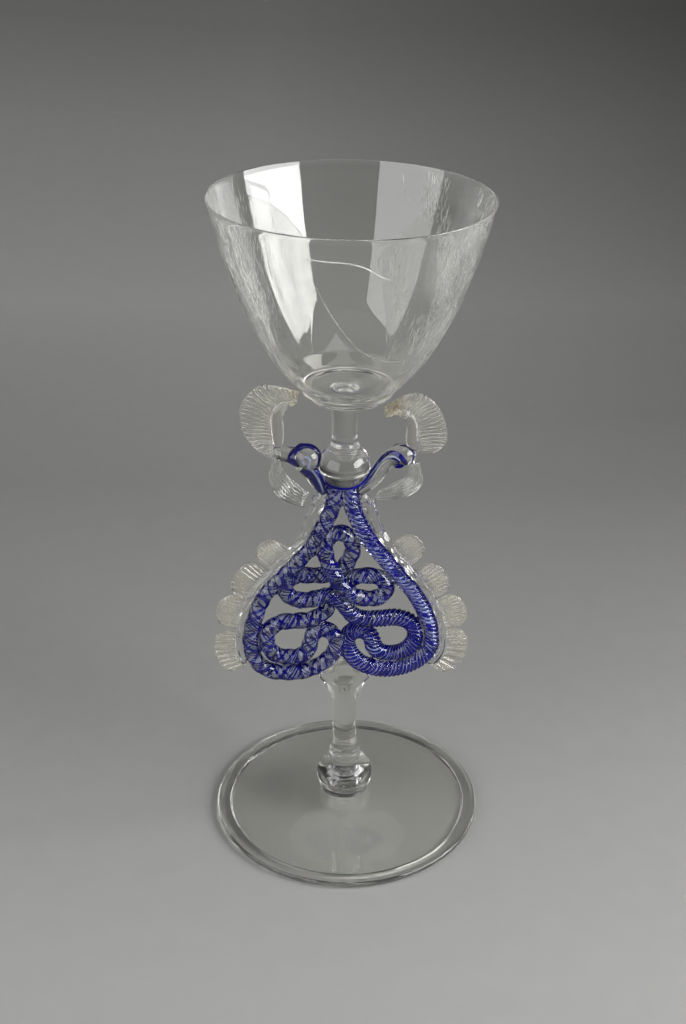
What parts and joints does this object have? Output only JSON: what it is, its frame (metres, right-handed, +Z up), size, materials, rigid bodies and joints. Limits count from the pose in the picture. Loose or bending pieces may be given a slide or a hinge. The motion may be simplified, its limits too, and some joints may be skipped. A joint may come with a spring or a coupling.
{
  "type": "goblet",
  "caption": "Clear glass goblet with a deep bowl, a stem of bent threaded cane with pinched wings and crests, and a wide folded foot.",
  "frame": {"origin": "centre of the foot's underside, on the surface that it stands on", "axes": "+Z up along the stem; +X to the right of the picture, in the plane of the wings; -Y towards the picture's camera"},
  "size_m": [0.1088, 0.1088, 0.2608],
  "materials": {
    "clear_glass": "clear, fire polished, faintly grey",
    "pinched_glass": "clear, ribbed by pincers, faintly straw coloured",
    "threaded_glass": "clear cane with blue and pale spiral threads inside"
  },
  "bodies": {
    "root": {"foot": "clear_glass", "foot_knop": "clear_glass", "lower_stem": "clear_glass", "shoulder_knop": "clear_glass", "upper_stem": "clear_glass", "bowl_collar": "clear_glass", "bowl": "clear_glass", "left_neck": "clear_glass", "right_neck": "clear_glass", "left_side_trail": "clear_glass", "right_side_trail": "clear_glass", "serpent_cane": "threaded_glass", "left_crest": "pinched_glass", "right_crest": "pinched_glass", "left_chin_wing": "pinched_glass", "right_chin_wing": "pinched_glass", "left_wing_lobe_1": "pinched_glass", "left_wing_lobe_2": "pinched_glass", "left_wing_lobe_3": "pinched_glass", "left_wing_lobe_4": "pinched_glass", "right_wing_lobe_1": "pinched_glass", "right_wing_lobe_2": "pinched_glass", "right_wing_lobe_3": "pinched_glass", "right_wing_lobe_4": "pinched_glass"}
  },
  "joints": []
}
